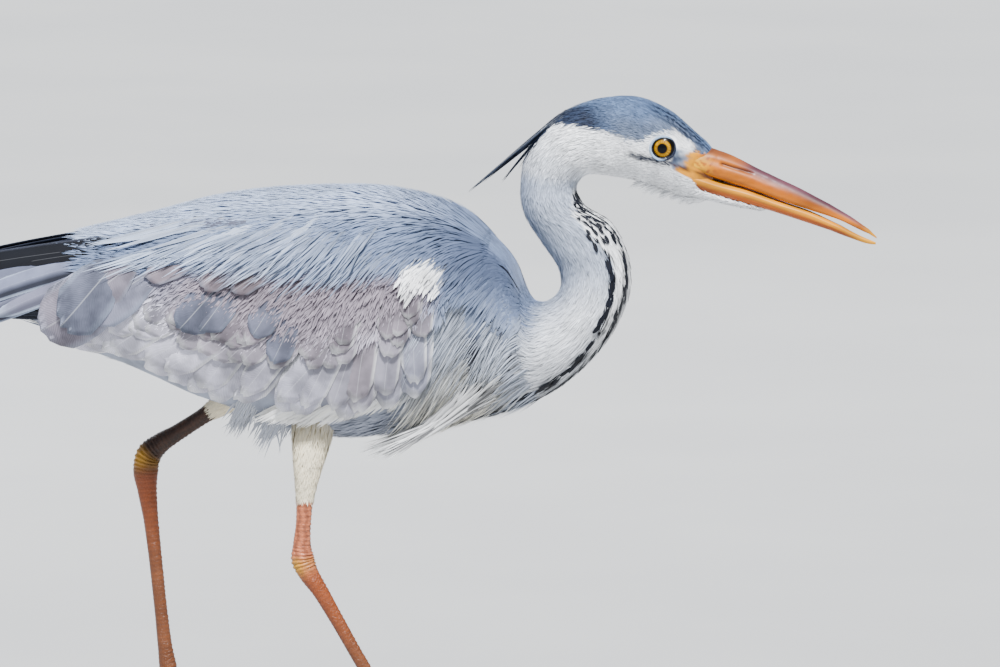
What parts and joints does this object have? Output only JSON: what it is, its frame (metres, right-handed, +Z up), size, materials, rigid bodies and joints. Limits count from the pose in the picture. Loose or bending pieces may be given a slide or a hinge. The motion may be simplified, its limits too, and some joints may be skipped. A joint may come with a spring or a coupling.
{
  "type": "bird figure, grey heron",
  "caption": "Life-size grey heron as a still museum model, stalking with its neck drawn into an S, a leg trailing and wings folded.",
  "frame": {"origin": "on the floor below the middle of the bird's bounding box", "axes": "+X is the way the bird faces, from tail tip to bill tip, +Y is the bird's left side, +Z is up"},
  "size_m": [0.679, 0.1688, 0.4391],
  "materials": {
    "plumage": "soft matt body feathers, blue-grey above, pale grey on the neck, white and cream below",
    "flight_feathers": "firm feather vanes, lilac-grey coverts and secondaries, slate-black primaries and tail edge",
    "crest_feathers": "long thin navy-black plumes with a slight gloss",
    "bill": "satin horn, orange with a yellow lower edge",
    "eye": "wet gloss, yellow iris and black pupil",
    "skin": "scaled skin, orange-brown with darker bands",
    "claw": "dark horn"
  },
  "bodies": {
    "root": {"tail": "flight_feathers", "trunk": "plumage", "neck_lower": "plumage", "neck_middle": "plumage", "neck_upper": "plumage", "head": "plumage", "bill_upper": "bill", "bill_lower": "bill", "eye_right": "eye", "eye_left": "eye", "crest_plume_long": "crest_feathers", "crest_plume_second": "crest_feathers", "crest_plume_short": "crest_feathers", "mantle": "plumage", "scapulars_right": "plumage", "wing_coverts_right": "flight_feathers", "wing_secondaries_right": "flight_feathers", "wing_primaries_right": "flight_feathers", "breast_plumes_right": "plumage", "thigh_right": "plumage", "shank_right": "skin", "tarsus_right": "skin", "toe_inner_right": "skin", "claw_inner_right": "claw", "toe_middle_right": "skin", "claw_middle_right": "claw", "toe_outer_right": "skin", "claw_outer_right": "claw", "toe_hind_right": "skin", "claw_hind_right": "claw", "scapulars_left": "plumage", "wing_coverts_left": "flight_feathers", "wing_secondaries_left": "flight_feathers", "wing_primaries_left": "flight_feathers", "breast_plumes_left": "plumage", "thigh_left": "plumage", "shank_left": "skin", "tarsus_left": "skin", "toe_inner_left": "skin", "claw_inner_left": "claw", "toe_middle_left": "skin", "claw_middle_left": "claw", "toe_outer_left": "skin", "claw_outer_left": "claw", "toe_hind_left": "skin", "claw_hind_left": "claw", "vent_feathers": "plumage"}
  },
  "joints": []
}
